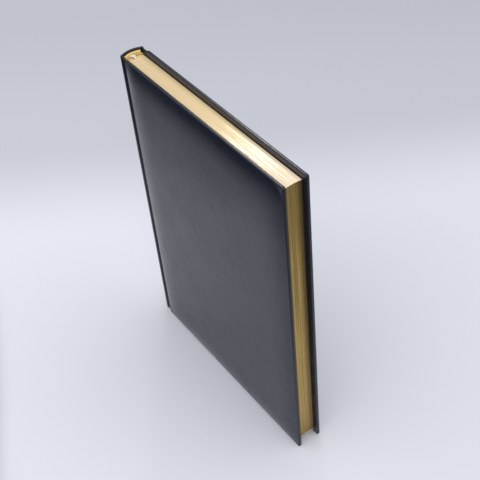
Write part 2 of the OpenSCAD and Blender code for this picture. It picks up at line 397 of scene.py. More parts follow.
def lining_finish():
    """Open weave of the cloth on the back of the block."""
    look = bpy.context.scene.planner_spine
    finish = Finish("lining_cloth")
    spot = finish.place(False)
    weave = finish.most(finish.ribs(spot, 0.8, 0.5, "Y"), finish.ribs(spot, 0.8, 0.5, "Z"))
    slubs = finish.noise(spot, 1.5, 3)
    tone = finish.mixed(weave, shade_of(look.lining, 0.5), look.lining)
    rough = finish.ranged(slubs, 0.3, 0.7, 0.8, 1)
    return finish.done(tone, rough, weave, 0.08 * MM)


def endpaper_finish(carried):
    """Dyed, nearly black paper with a soft fibre."""
    look = bpy.context.scene.planner_pages
    finish = Finish("endpaper_glued" if carried else "endpaper_loose")
    spot = finish.place(carried)
    fibres = finish.noise(finish.stretched(spot, (0.3, 0.3, 1.2), (0, 0.2, 0)), 1, 4)
    mottle = finish.noise(spot, 0.06, 3)
    tone = finish.mixed(fibres, shade_of(look.endpaper, 0.6), shade_of(look.endpaper, 1.6))
    tone = finish.mixed(finish.ranged(mottle, 0.3, 0.7, 0, 0.4), tone, shade_of(look.endpaper, 0.6))
    rough = finish.ranged(mottle, 0.3, 0.7, 0.55, 0.72)
    return finish.done(tone, rough, fibres, 0.02 * MM)


def gilt_finish():
    """Gold on the page edges: streaks along each page, painted shade on the fore-edge towards head, tail and
    back cover, and a head painted paler as a painted reflection of the bright room, paler still towards its
    fore corner.
    """
    look = bpy.context.scene.planner_pages
    finish = Finish("gilt_edges")
    spot = finish.place(True)
    x, y, z = finish.axes(spot)
    lines = finish.noise(finish.stretched(spot, (46, 0.22, 46)), 1, 2)
    bands = finish.noise(finish.stretched(spot, (90, 0.9, 90)), 1, 2)
    scuffs = finish.ranged(finish.noise(finish.stretched(spot, (3.5, 1.6, 3.5)), 1, 4), 0.6, 0.8, 0, 1, True)
    streaks = finish.sums(finish.times(lines, 0.6), finish.times(bands, 0.4))
    level = finish.from_middle(z)
    thin_and_shaded = finish.ranged(streaks, 0.36, 0.60, 0.75, 0, True)
    # Painted shade: the fore-edge's gold darkens towards the head and the tail
    thin_and_shaded = finish.most(thin_and_shaded, finish.ranged(level, HEAD_REACH - 32, HEAD_REACH, 0, 0.35, True))
    # Painted shade: the fore-edge's gold darkens towards the back cover
    thin_and_shaded = finish.most(thin_and_shaded, finish.ranged(y, 0.8, 4.2, 0, 0.9, True))
    deep = finish.mixed(thin_and_shaded, look.gilt, look.thin_and_shaded_gilt)
    deep = finish.mixed(finish.times(scuffs, 0.3), deep, shade_of(look.thin_and_shaded_gilt, 1.2))
    cloudy = finish.noise(finish.stretched(spot, (16, 3, 16)), 1, 3)
    # The head's gold gets paler towards its fore corner, with a cloudy edge
    paled = finish.sums(x, finish.times(cloudy, 24))
    # Painted reflection: the head's gold is painted paler than the fore-edge's, for the bright room it
    # reflects
    lit_head_tone = finish.mixed(finish.times(lines, 0.5), look.lit_head_gilt, shade_of(look.lit_head_gilt, 0.86))
    lit_head_tone = finish.mixed(finish.ranged(paled, 22, 72, 0, 1, True), lit_head_tone, look.pale_corner_gilt)
    at_head = finish.ranged(level, HEAD_REACH - 0.5, HEAD_REACH - 0.15, 0, 1, True)
    tone = finish.mixed(at_head, deep, lit_head_tone)
    rough = finish.sums(finish.ranged(streaks, 0.3, 0.7, 0.34, 0.2), finish.times(scuffs, 0.15))
    burnish = finish.ranged(lines, 0.3, 0.7, 0.09, 0.13)
    rough = finish.add("Mix", {0: at_head, NUMBER_A: rough, NUMBER_B: burnish})
    metal = finish.ranged(at_head, 0, 1, 0.88, 0.1)
    relief = finish.times(lines, finish.ranged(at_head, 0, 1, 1, 0.25))
    twist = finish.times(finish.times(x, y), 0.06)
    relief = finish.sums(relief, finish.times(twist, at_head))
    return finish.done(tone, rough, relief, 0.03 * MM, 0.8, Metallic=metal, IOR=1.7)


def thread_finish():
    """Silk wound closely round the cord of a headband, with painted shade on the core under it."""
    look = bpy.context.scene.planner_bands
    finish = Finish("headband_silk")
    spot = finish.place(True)
    level = finish.from_middle(finish.axes(spot)[2])
    strands = finish.noise(finish.stretched(spot, (0.5, 0.12, 0.5)), 1, 3)
    tone = finish.mixed(strands, shade_of(look.thread, 0.72), shade_of(look.thread, 1.12))
    # Painted shade: the core under the cord gets a darker colour for the shade that falls there
    low = finish.mixed(strands, shade_of(look.core, 0.7), shade_of(look.core, 1.1))
    on_cord = finish.ranged(level, HEAD_REACH + 0.75, HEAD_REACH + 1.05, 0, 1, True)
    tone = finish.mixed(on_cord, low, tone)
    rough = finish.ranged(strands, 0.3, 0.7, 0.38, 0.55)
    return finish.done(tone, rough, strands, 0.03 * MM, Sheen_Weight=0.4)


def satin_finish():
    """Ribbon with a fine cross rib."""
    look = bpy.context.scene.planner_bands
    finish = Finish("ribbon_satin")
    spot = finish.place(True)
    ribs = finish.ribs(spot, 1.1, 0.3, "Z")
    fibres = finish.noise(finish.stretched(spot, (0.15, 0.15, 2)), 1, 2)
    tone = finish.mixed(fibres, shade_of(look.ribbon, 0.82), shade_of(look.ribbon, 1.05))
    rough = finish.ranged(ribs, 0, 1, 0.36, 0.5)
    return finish.done(tone, rough, ribs, 0.02 * MM, Sheen_Weight=0.3)


def unit(vector):
    return vector / np.linalg.norm(vector)


def rounded_path(corners):
    """Points along a path whose corners (x, y, radius) are rounded."""
    path = [np.array(corners[0][:2])]
    for before, here, after in zip(corners, corners[1:], corners[2:]):
        spot = np.array(here[:2])
        if here[2] <= 0:
            path.append(spot)
            continue
        back = unit(np.array(before[:2]) - spot)
        on = unit(np.array(after[:2]) - spot)
        inner = math.acos(np.clip(back @ on, -1, 1))
        reach = here[2] / math.tan(inner / 2)
        centre = spot + unit(back + on) * here[2] / math.sin(inner / 2)
        turn = math.pi - inner
        if back[0] * on[1] - back[1] * on[0] > 0:
            turn = -turn
        start = spot + back * reach - centre
        steps = max(3, round(abs(turn) / math.radians(12)))
        for step in range(steps + 1):
            c, s = math.cos(turn * step / steps), math.sin(turn * step / steps)
            path.append(centre + np.array([c * start[0] - s * start[1], s * start[0] + c * start[1]]))
    path.append(np.array(corners[-1][:2]))
    return np.array(path)


def left_normals(path):
    along = np.gradient(path, axis=0)
    across = np.stack([-along[:, 1], along[:, 0]], axis=1)
    return across / np.linalg.norm(across, axis=1)[:, None]


def grid_faces(rows, columns, first=0, turned=False):
    """Quads over rows of points that each hold the same number of columns."""
    faces = []
    for row in range(rows - 1):
        for column in range(columns - 1):
            a = first + row * columns + column
            quad = (a, a + 1, a + columns + 1, a + columns)
            faces.append(quad[::-1] if turned else quad)
    return faces


def tube_faces(rings, count, first=0, turned=False):
    """Quads over closed rings of points, with a fan-free cap at each end."""
    faces = []
    for ring in range(rings - 1):
        for k in range(count):
            a = first + ring * count + k
            b = first + ring * count + (k + 1) % count
            quad = (a, b, b + count, a + count)
            faces.append(quad[::-1] if turned else quad)
    last = first + (rings - 1) * count
    ends = [tuple(range(first + count - 1, first - 1, -1)), tuple(range(last, last + count))]
    faces += [end[::-1] for end in ends] if turned else ends
    return faces


def mirrored(points, faces):
    """The same piece for the back cover."""
    return points * np.array([1, -1, 1]), [tuple(reversed(face)) for face in faces]


def thickened(points, faces, depth):
    """Closes an open sheet of quads: a second side at a depth under it, and an edge all round."""
    quads = np.array(faces)
    corners = points[quads]
    across = np.cross(corners[:, 2] - corners[:, 0], corners[:, 3] - corners[:, 1])
    across /= np.maximum(np.linalg.norm(across, axis=1), 1e-15)[:, None]
    normals = np.zeros_like(points)
    for k in range(4):
        np.add.at(normals, quads[:, k], across)
    normals /= np.maximum(np.linalg.norm(normals, axis=1), 1e-9)[:, None]
    count = len(points)
    edges = {(face[k], face[(k + 1) % 4]) for face in faces for k in range(4)}
    rim = [(b, a, a + count, b + count) for a, b in sorted(edges) if (b, a) not in edges]
    under = [tuple(corner + count for corner in reversed(face)) for face in faces]
    inner = points - normals * depth
    inner[:, 2] = np.clip(inner[:, 2], points[:, 2].min(), points[:, 2].max())
    return np.concatenate([points, inner]), list(faces) + under + rim


def add_piece(name, points, faces, material, thickness=0.0, sharp=40):
    """A mesh object with its material; an open sheet gets its thickness on the inside."""
    if thickness:
        points, faces = thickened(points, faces, thickness)
    mesh = bpy.data.meshes.new(name)
    mesh.from_pydata([tuple(point) for point in points], [], faces)
    mesh.update()
    obj = bpy.data.objects.new(name, mesh)
    bpy.context.collection.objects.link(obj)
    mesh.materials.append(material)
    mesh.shade_smooth()
    mesh.set_sharp_from_angle(angle=math.radians(sharp))
    places = np.empty(len(mesh.vertices) * 3, np.float32)
    mesh.vertices.foreach_get("co", places)
    mesh.attributes.new(REST, "FLOAT_VECTOR", "POINT").data.foreach_set("vector", places)
    return obj


def smooth_least(first, second, blend):
    """The lesser of two distances, with a soft crease where they meet."""
    near = np.maximum(blend - np.abs(first - second), 0) / blend
    return np.minimum(first, second) - near * near * blend / 4


def crown(look, x, z, edge):
    """Share of the padding's full height at a place on the face; edge is the width of the rim outside it."""
    corner_blend = 9 * MM
    across = np.minimum(x - BOARD_X - edge, COVER_X - edge - x)
    along = np.minimum(z - edge, COVER_H - edge - z)
    distance = smooth_least(across, along, corner_blend)
    share = np.clip(distance / look.slope_width, 0, 1)
    return 1 - (1 - share) ** look.slope_power


def spaced(low, high):
    """Places from low to high: fine steps near both ends, coarse ones in the middle."""
    growth = 24 * MM
    places = [0.0]
    half = (high - low) / 2
    while places[-1] < half:
        share = min(places[-1] / growth, 1)
        places.append(places[-1] + FINE_STEP + (COARSE_STEP - FINE_STEP) * share)
    steps = np.array(places) / places[-1] * half
    return np.concatenate([low + steps, (high - steps[:-1])[::-1]])


def cover_face(look, edge):
    """Grid of a cover's outer face inside a rim of the given width: places, outward directions and radii."""
    radius_spine = look.spine_corner - edge
    radius_fore = look.fore_corner - edge
    low_x, high_x = BOARD_X + edge, COVER_X - edge
    low_z, high_z = edge, COVER_H - edge
    middle_x = spaced(low_x + radius_spine, high_x - radius_fore)
    share_z = spaced(0, COVER_H) / COVER_H
    ramp = np.linspace(0, 1, CORNER_STEPS + 1)
    turn_x = np.concatenate([ramp[:-1] - 1, np.zeros(len(middle_x)), ramp[1:]])
    turn_z = np.concatenate([ramp[:-1] - 1, np.zeros(len(share_z)), ramp[1:]])
    ends_x = np.full(CORNER_STEPS, middle_x[0]), np.full(CORNER_STEPS, middle_x[-1])
    centre_x = np.concatenate([ends_x[0], middle_x, ends_x[1]])
    level = np.concatenate([np.zeros(CORNER_STEPS), share_z, np.ones(CORNER_STEPS)])
    across = (centre_x - centre_x[0]) / (centre_x[-1] - centre_x[0])
    radius = (radius_spine + (radius_fore - radius_spine) * across)[None, :]
    a, b = turn_x[None, :], turn_z[:, None]
    out_x = a * np.sqrt(1 - b * b / 2)
    out_z = b * np.sqrt(1 - a * a / 2)
    centre_z = low_z + radius + (high_z - low_z - 2 * radius) * level[:, None]
    x = centre_x[None, :] + radius * out_x
    z = centre_z + radius * out_z
    return x, z, out_x, out_z, radius + 0 * z, centre_x[None, :] + 0 * z, centre_z


def border_of(rows, columns):
    """Index pairs round a grid: along the tail, up the fore-edge, back along the head, down the spine."""
    border = [(0, c) for c in range(columns)]
    border += [(r, columns - 1) for r in range(1, rows)]
    border += [(rows - 1, c) for c in range(columns - 2, -1, -1)]
    border += [(r, 0) for r in range(rows - 2, 0, -1)]
    return border


def rim_profile(look, depth):
    """Pairs (distance out from the face's edge, depth) over the rim, wall and inner rim to the turn-in."""
    profile = []
    for step in range(1, 7):
        angle = math.radians(15 * step)
        profile.append((look.rim * math.sin(angle), look.rim * (1 - math.cos(angle))))
    low = depth - look.inner_rim
    profile += [(look.rim, look.rim + (low - look.rim) * share) for share in (0.35, 0.7, 1)]
    for step in range(1, 6):
        angle = math.radians(18 * step)
        out = look.rim - look.inner_rim * (1 - math.cos(angle))
        profile.append((out, low + look.inner_rim * math.sin(angle)))
    inner = look.rim - look.inner_rim
    reaches = np.array([0.5, 1.2, 2.2, 3.5, 5.5, 8, 11]) * MM
    profile += [(inner - reach, depth) for reach in reaches]
    profile.append((look.rim - look.turnin, depth))
    return profile


def cover_skin_mesh(look):
    """The skin of the front cover as one sheet: crowned face, rim, wall, inner rim and mitred turn-ins."""
    x, z, out_x, out_z, radius, centre_x, centre_z = cover_face(look, look.rim)
    rows, columns = x.shape
    rim_out = CROWN_OUT - PAD_RISE
    share = crown(look, x, z, look.rim)
    waves = np.sin(x / MM * 0.11 + 0.6) * np.sin(z / MM * 0.083 + 1.1)
    sway = 0.035 * MM * (waves - 0.5) * share
    y = -(rim_out + PAD_RISE * share + np.minimum(sway, 0))
    points = [np.stack([x, y, z], axis=-1).reshape(-1, 3)]
    faces = grid_faces(rows, columns)
    border = border_of(rows, columns)
    r, c = np.array(border).T
    inner_ring = r * columns + c
    ox, oz, rad = out_x[r, c], out_z[r, c], radius[r, c]
    cx, cz = centre_x[r, c], centre_z[r, c]
    # Corners keep at least this radius; on the turn-ins their centres then move inwards
    least = 0.3 * MM
    mitre_rise, mitre_width = 0.22 * MM, 0.35
    at_spine = ox < -0.01
    middle_x, middle_z = (centre_x.min() + centre_x.max()) / 2, COVER_H / 2
    half_x, half_z = centre_x.max() - middle_x, np.abs(cz - middle_z).max()
    wide, high = np.abs(ox), np.abs(oz)
    mitre = np.exp(-((wide - high) / mitre_width) ** 2) * (wide * high > 0.05) * (ox > 0)
    for out, depth in rim_profile(look, rim_out - SKIN_IN):
        out_here = np.where(at_spine, max(out, look.rim - SPINE_TURNIN), out)
        size = np.maximum(rad + out, least)
        shift_x = np.maximum(least - (rad + out_here), 0) * np.abs(cx - middle_x) / half_x
        shift_z = np.maximum(least - (rad + out), 0) * np.abs(cz - middle_z) / half_z
        size_x = np.where(at_spine, np.maximum(rad + out_here, least), size)
        px = cx - np.sign(cx - middle_x) * shift_x + ox * size_x
        pz = cz - np.sign(cz - middle_z) * shift_z + oz * size
        py = -(rim_out - depth) - mitre * mitre_rise * (out < 0)
        first = sum(len(p) for p in points)
        ring = first + np.arange(len(border))
        points.append(np.stack([px, py + 0 * px, pz], axis=-1))
        for k in range(len(border)):
            n = (k + 1) % len(border)
            faces.append((ring[k], ring[n], inner_ring[n], inner_ring[k]))
        inner_ring = ring
    return np.concatenate(points), [tuple(int(v) for v in face) for face in faces]


def foam_mesh(look):
    """Foam between the board and the skin, thin at the edges and full in the middle."""
    edge = SKIN + 0.12 * MM
    under_skin, over_board, least = 0.05 * MM, 0.02 * MM, 0.05 * MM
    dip, dip_width = 0.12 * MM, 0.3 * MM
    x, z, *_ = cover_face(look, edge)
    rows, columns = x.shape
    share = crown(look, x, z, look.rim)
    top = CROWN_OUT - PAD_RISE - SKIN - under_skin + PAD_RISE * share
    depth_in = np.minimum(np.minimum(x - BOARD_X, COVER_X - x), np.minimum(z, COVER_H - z)) - edge
    top -= dip * np.exp(-depth_in / dip_width)
    low = BOARD_OUT + over_board + 0 * top
    outer = np.stack([x, -np.maximum(top, low + least), z], axis=-1).reshape(-1, 3)
    inner = np.stack([x, -low, z], axis=-1).reshape(-1, 3)
    faces = grid_faces(rows, columns) + grid_faces(rows, columns, rows * columns, True)
    border = [r * columns + c for r, c in border_of(rows, columns)]
    for k, a in enumerate(border):
        b = border[(k + 1) % len(border)]
        faces.append((a, a + rows * columns, b + rows * columns, b))
    return np.concatenate([outer, inner]), faces


def folded_sheet(path, low, high, fold, turnin, step):
    """A sheet along a path, folded over at its tail and head: the outer side of the skin."""
    fold = np.broadcast_to(fold, len(path))
    turnin = np.broadcast_to(turnin, len(path))
    inward = -left_normals(path)
    halves = []
    for share in (1, 0.75, 0.5, 0.25):
        halves.append((-fold - turnin * share, 2 * fold))
    for angle in np.radians(np.arange(180, -1, -22.5)):
        halves.append((-fold + fold * math.sin(angle), fold * (1 - math.cos(angle))))
    levels = np.linspace(0, 1, max(3, round((high - low) / step)))[1:-1]
    rows = [(low - reach, depth) for reach, depth in halves]
    rows += [(low + fold + (high - low - 2 * fold) * level, 0 * fold) for level in levels]
    rows += [(high + reach, depth) for reach, depth in reversed(halves)]
    points = []
    for z, depth in rows:
        spot = path + inward * np.asarray(depth)[:, None]
        points.append(np.column_stack([spot, z]))
    return np.concatenate(points), grid_faces(len(rows), len(path), turned=True)


def spine_path(look):
    """Outer face of the spine, from the front groove round the back of the book to the back groove."""
    corner = SPINE_SIDE_X - look.side
    foot_reach, foot_lift, foot_round = 0.78 * MM, 0.1 * MM, 0.55 * MM
    rise = corner - SPINE_X
    radius = (SPINE_HALF ** 2 + rise ** 2) / (2 * rise)
    half = math.asin(SPINE_HALF / radius)
    centre = SPINE_X + radius
    foot = [
        (SPINE_SIDE_X + foot_reach, -BOARD_IN + foot_lift, 0),
        (SPINE_SIDE_X, -SPINE_HALF, foot_round),
        (corner, -SPINE_HALF, look.edge_round),
    ]
    arc = []
    for angle in np.linspace(-half, half, 31)[1:-1]:
        arc.append((centre - radius * math.cos(angle), radius * math.sin(angle), 0))
    return rounded_path(foot + arc + [(x, -y, r) for x, y, r in reversed(foot)])


def spine_mesh(look):
    """The skin of the spine, folded over deep at its middle and less at its shoulders."""
    path = spine_path(look)
    margin, end_gap = 1.2 * MM, 0.02 * MM
    flat = np.clip((np.abs(path[:, 1]) - (SPINE_HALF - margin)) / margin, 0, 1)
    shoulder = path[:, 0] > SPINE_SIDE_X - look.side * 0.7
    flat = np.where(shoulder, 1, flat)
    fold = (0.65 - 0.27 * flat) * MM
    turnin = look.turnin * (1 - 0.75 * flat)
    return folded_sheet(path, end_gap, COVER_H - end_gap, fold, turnin, 4 * MM)


def groove_mesh(look):
    """The skin in the front groove, from under the spine's shoulder to the edge of the board."""
    end_gap, fold, turnin, step = 0.35 * MM, 0.36 * MM, 2.6 * MM, 1.2 * MM
    places = np.linspace(BOARD_X + 0.15 * MM, SPINE_SIDE_X + 0.35 * MM, 27)
    sag = 0.12 * MM * np.sin(np.pi * (places - places[-1]) / (places[0] - places[-1]))
    path = np.column_stack([places, -(BOARD_IN - sag)])
    low, high = end_gap, COVER_H - end_gap
    points, faces = folded_sheet(path, low, high, fold, turnin, step)
    from_end = np.minimum(points[:, 2] - low, high - points[:, 2])
    lift = np.clip(1 - from_end / look.groove_end, 0, 1) ** 2
    points[:, 1] -= look.groove_rise * lift
    return points, faces


def pastedown_mesh(look):
    """The front endpaper's glued half: it sinks onto the board inside the turn-ins and runs across the hinge.
    """
    start = SHOULDER_X - 0.25 * MM
    window = (BOARD_X + SPINE_TURNIN, COVER_X - look.turnin, look.turnin, COVER_H - look.turnin)
    bend = np.linspace(start, HINGE_X + 1.2 * MM, 24)
    step = np.array([-0.9, -0.5, -0.2, 0.1, 0.4, 0.8]) * MM
    over_board, slope = 0.24 * MM, 1.1 * MM
    x = np.concatenate([
        bend, window[0] + step, np.linspace(window[0] + 4 * MM, window[1] - 4 * MM, 30),
        window[1] + step, np.linspace(window[1] + 2 * MM, FORE_X, 6)])
    z = np.concatenate([
        np.linspace(TAIL_Z, window[2] - 2 * MM, 6), window[2] + step,
        np.linspace(window[2] + 4 * MM, window[3] - 4 * MM, 40), window[3] + step,
        np.linspace(window[3] + 2 * MM, HEAD_Z, 6)])
    x, z = np.unique(x), np.unique(z)
    x_all, z_all = np.meshgrid(x, z)

    def inside(value, low, high):
        near = np.minimum(value - low, high - value)
        share = np.clip(near / slope + 0.5, 0, 1)
        return share * share * (3 - 2 * share)

    sunk = inside(x_all, window[0], window[1]) * inside(z_all, window[2], window[3])
    waves = np.sin(x_all / MM * 0.07) * np.sin(z_all / MM * 0.05 + 1)
    ripple = 0.015 * MM * (1 + waves) * sunk
    y = -(PASTE_IN + (BOARD_IN - PASTE_IN - over_board) * sunk - ripple)
    points = np.stack([x_all, y, z_all], axis=-1).reshape(-1, 3)
    return points, grid_faces(len(z), len(x), turned=True)


def head_dip(x, y):
    """How far the head of the pages dips beside the ribbon, where the leaves are parted."""
    depth, half_width, fade = 0.04 * MM, 0.30 * MM, 12 * MM
    reach = np.clip((RIBBON_HIGH.x + 2 * MM - x) / fade, 0, 1)
    valley = np.exp(-((np.abs(y) / half_width) ** 2))
    return depth * valley * reach


def ribbon_pocket(x):
    """Depth of the slot that holds the ribbon, at a place along the head."""
    gap = 0.3 * MM
    left, right = RIBBON_LOW.x - gap / 2, RIBBON_HIGH.x + gap / 2
    end = RIBBON_LOW.x + 15 * MM
    low = RIBBON_LOW.z - gap
    places = [left, end - 6 * MM, end, end + gap, right]
    levels = [HEAD_Z - 6 * MM - gap, low, low, HEAD_Z - 5 * MM, HEAD_Z - 1 * MM]
    level = np.interp(x, places, levels)
    return np.where((x > left) & (x < right), HEAD_Z - level, 0)


def pages_mesh(look):
    """All the pages: one outline for each group of leaves, with a rounded back and a hollow fore-edge."""
    rng = np.random.default_rng(12)
    hollow = 0.4 * MM
    fold_depth, fold_width = 0.045 * MM, 0.09
    head_wave, fore_wave = 0.02 * MM, 0.03 * MM
    per_section = 7
    layers = look.sections * per_section
    spread = np.linspace(-LEAF_IN, LEAF_IN, layers + 1)
    slot = 0.15 * MM
    spread = spread[np.abs(spread) > slot * 1.3]
    spread = np.sort(np.concatenate([spread, [-slot, -slot * 0.94, slot * 0.94, slot]]))
    low_x, high_x = RIBBON_LOW.x - 0.15 * MM, RIBBON_HIGH.x + 0.15 * MM
    wall = 0.02 * MM
    head_x = np.concatenate([
        [0.0],
        np.linspace(low_x, high_x, 20) - BACK_X,
        [low_x - BACK_X - wall, high_x - BACK_X + wall],
        np.linspace(high_x - BACK_X + 1.5 * MM, FORE_X - BACK_X, 58),
    ])
    head_x = np.sort(head_x) / (FORE_X - BACK_X)
    fore = np.linspace(0, 1, 74)[1:-1]
    points, per_loop = [], 2 * len(head_x) + len(fore)
    for y in spread:
        back = BACK_X + BACK_RADIUS - math.sqrt(max(BACK_RADIUS ** 2 - y ** 2, 0))
        section = (y + LEAF_IN) / (2 * LEAF_IN) * look.sections
        off_fold = abs(section - round(section))
        groove = fold_depth * math.exp(-((off_fold / fold_width) ** 2))
        at_side = abs(y) > LEAF_IN - 0.01 * MM
        push_x, push_z, push_tail = (rng.uniform(-1, 1, 3) * look.uneven) * (0 if at_side else 1)
        edge_x = FORE_X - hollow * (1 - (y / LEAF_IN) ** 2) - groove + min(push_x, 0)
        x = back + (edge_x - back) * head_x
        place = BACK_X + (FORE_X - BACK_X) * head_x
        wave = head_wave * np.sin(place / MM * 0.05 + y / MM * 1.7)
        head = HEAD_Z - groove + min(push_z, 0) - head_dip(place, y) + np.minimum(wave, 0)
        if abs(y) < slot * 0.97:
            head = np.where(ribbon_pocket(place) > 0, HEAD_Z - ribbon_pocket(place), head)
        head = np.minimum(head, HEAD_Z + 0.12 * MM)
        tail = TAIL_Z + groove - min(push_tail, 0) + 0 * x
        rise = tail[-1] + (head[-1] - tail[-1]) * fore
        sway = fore_wave * np.sin(rise / MM * 0.06 + y / MM * 2.1)
        outline = np.concatenate([
            np.column_stack([x, tail]),
            np.column_stack([edge_x + np.minimum(sway, 0), rise]),
            np.column_stack([x, head])[::-1],
        ])
        points.append(np.column_stack([outline[:, 0], np.full(per_loop, y), outline[:, 1]]))
    faces = []
    for ring in range(len(spread) - 1):
        for k in range(per_loop):
            a = ring * per_loop + k
            b = ring * per_loop + (k + 1) % per_loop
            faces.append((a + per_loop, b + per_loop, b, a))
    count = len(head_x)
    for first, turned in ((0, False), ((len(spread) - 1) * per_loop, True)):
        for k in range(count - 2):
            quad = (first + k, first + k + 1, first + per_loop - 2 - k, first + per_loop - 1 - k)
            faces.append(quad[::-1] if turned else quad)
        last = tuple(range(first + count - 2, first + per_loop - count + 2))
        faces.append(last[::-1] if turned else last)
    return np.concatenate(points), faces


def headband_mesh(look):
    """The headband at the head: a flat cord wound with silk, the core under it and the cloth behind them."""
    radius = BACK_RADIUS
    centre = BACK_X + radius
    half_d = 0.9 * MM
    slack, winding, end_round = 0.02 * MM, 0.06 * MM, 0.35 * MM
    run = centre - BAND_LOW.x - half_d
    level = BAND_HIGH.z - half_d
    half = math.asin(LEAF_IN / (run + half_d))
    length = 2 * half * run
    rings, around = 150, 24

    def squared(value):
        return math.copysign(abs(value) ** 0.55, value)

    points, faces = [], []

    def place(reach, angle, z):
        points.append((centre - reach * math.cos(angle), reach * math.sin(angle), z))

    for ring in range(rings):
        share = ring / (rings - 1)
        angle = -half + 2 * half * share
        at = share * length
        end = min(at, length - at)
        taper = math.sqrt(max(1 - max(1 - end / end_round, 0) ** 2, 0.02))
        for k in range(around):
            turn = 2 * math.pi * k / around
            wind = math.sin(2 * math.pi * at / look.pitch + turn)
            size = (half_d - slack - winding * (0.5 - 0.5 * wind)) * taper
            place(run + size * squared(math.cos(turn)), angle, level + size * squared(math.sin(turn)))
    faces += tube_faces(rings, around)
    first = len(points)
    core_in, core_out, chamfer = radius + 0.25 * MM, radius + 1.15 * MM, 0.2 * MM
    top, low = level - 0.4 * MM, HEAD_Z - 0.45 * MM
    for ring in range(rings):
        angle = 0.8 * half * (2 * ring / (rings - 1) - 1)
        ridge = 0.05 * MM * (0.5 - 0.5 * math.sin(2 * math.pi * angle * run / look.pitch))
        outer = core_out - ridge
        profile = [
            (core_in, low), (core_in, top), (outer, top), (outer, low + chamfer), (core_out - chamfer, low)
        ]
        for reach, z in profile:
            place(reach, angle, z)
    faces += tube_faces(rings, len(profile), first)
    first = len(points)
    top, low, depth = level - 0.46 * MM, BAND_LOW.z + 0.02 * MM, 0.26 * MM
    columns = 25
    profile = [
        (0.02 * MM, low), (0.02 * MM, top), (depth * 0.6, top + 0.06 * MM), (depth, top - 0.1 * MM),
        (depth, (top + low) / 2), (depth, low + 0.1 * MM), (depth * 0.6, low),
    ]
    for angle in np.linspace(-1, 1, columns) * math.asin(LEAF_IN / (radius + 0.3 * MM)):
        for out, z in profile:
            place(radius + out, angle, z)
    faces += tube_faces(columns, len(profile), first)
    return np.array(points), faces


def ribbon_mesh(look):
    """The ribbon: glued behind the pages, it twists over their head and hangs in them to a notched end."""
    x, top, end = RIBBON_LOW.x, HEAD_Z, RIBBON_LOW.z
    arch_height, notch_depth = 0.55 * MM, 2 * MM
    rows, columns, free_rows, free_share = 120, 13, 90, 0.44
    # Share of its length, and both edges there in millimetres from its corner at the head of the pages
    edges = (
        (0.00, (-0.70, 1.75, -0.6), (-0.70, -3.3, -0.2)),
        (0.04, (-0.62, 1.75, 0.7), (-0.62, -3.3, 1.1)),
        (0.08, (-0.20, 1.6, 1.25), (-0.25, -2.7, 1.75)),
        (0.13, (0.90, 1.1, 1.1), (0.50, -1.5, 1.6)),
        (0.18, (2.00, 0.6, 0.7), (1.30, -0.6, 0.9)),
        (0.24, (3.40, 0.25, 0.35), (2.20, -0.25, 0.3)),
        (0.30, (5.00, 0.06, 0.24), (2.00, -0.05, -1.5)),
        (0.36, (9.00, 0, 0.22), (1.20, 0, -4.5)),
        (0.44, (16.6, 0, 0.04), (0.40, 0, -6.5)),
        (0.55, (7.00, 0, -17.5), (0.40, 0, -12)),
        (1.00, (15.0, 0, (end - top) / MM), (9.0, 0, (end - top) / MM)),
    )
    shares = np.array([edge[0] for edge in edges])
    right = np.array([edge[1] for edge in edges]) * MM
    left = np.array([edge[2] for edge in edges]) * MM
    hidden = np.linspace(free_share, 1, rows - free_rows + 1)[1:]
    places = np.concatenate([np.linspace(0, free_share, free_rows), hidden])
    across = np.linspace(0, 1, columns)
    sheet = []
    for place in places:
        a = np.array([np.interp(place, shares, right[:, k]) for k in range(3)])
        b = np.array([np.interp(place, shares, left[:, k]) for k in range(3)])
        row = a[None, :] + (b - a)[None, :] * across[:, None]
        arch = arch_height * max(0, 1 - abs(place - 0.07) / 0.09)
        row[:, 2] += arch * np.sin(np.pi * across) ** 0.8
        row[:, 2] += notch_depth * max(0, (place - 0.9) / 0.1) * (1 - np.abs(2 * across - 1))
        sheet.append(row)
    sheet = np.array(sheet)
    for _ in range(2):
        before, after = sheet[:free_rows - 1], sheet[2:free_rows + 1]
        sheet[1:free_rows] = (before + 2 * sheet[1:free_rows] + after) / 4
    sheet += np.array([x, -look.ribbon_depth / 2, top])
    return sheet.reshape(-1, 3), grid_faces(rows, columns)


def sides(points, faces):
    """The front piece and its mirror image for the back, with the names of their bodies."""
    yield "front", "front_cover", points, faces
    yield "back", "back_cover", *mirrored(points, faces)


class PLANNER_OT_cover_skins(Operator):
    """Skins of both covers: crowned over the foam and turned in over the boards, with mitred corners"""
    bl_idname = "planner.cover_skins"
    bl_label = "Cover skins"

    def execute(self, context):
        material = shared_leather()
        points, faces = cover_skin_mesh(context.scene.planner_covers)
        for side, body, here, over in sides(points, faces):
            obj = add_piece(f"{side}_cover_skin", here, over, material, SKIN - 0.01 * MM, 50)
            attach(obj, body)
            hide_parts(f"{side}_skin")
        return {"FINISHED"}


class PLANNER_OT_cover_foam(Operator):
    """Foam that pads both covers under the skin"""
    bl_idname = "planner.cover_foam"
    bl_label = "Cover foam"

    def execute(self, context):
        material = foam_finish()
        points, faces = foam_mesh(context.scene.planner_covers)
        for side, body, here, over in sides(points, faces):
            obj = add_piece(f"{side}_cover_foam", here, over, material)
            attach(obj, body)
            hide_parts(f"{side}_padding")
        return {"FINISHED"}


class PLANNER_OT_hidden_card(Operator):
    """Boards of the covers, card in the spine and cloth on the back of the pages"""
    bl_idname = "planner.hidden_card"
    bl_label = "Boards and lining"

    def execute(self, context):
        board, cloth = greyboard_finish(), lining_finish()
        for name in ("front_board", "back_board", "spine_inlay"):
            dress_solid(name, board)
        dress_solid("spine_lining", cloth)
        return {"FINISHED"}


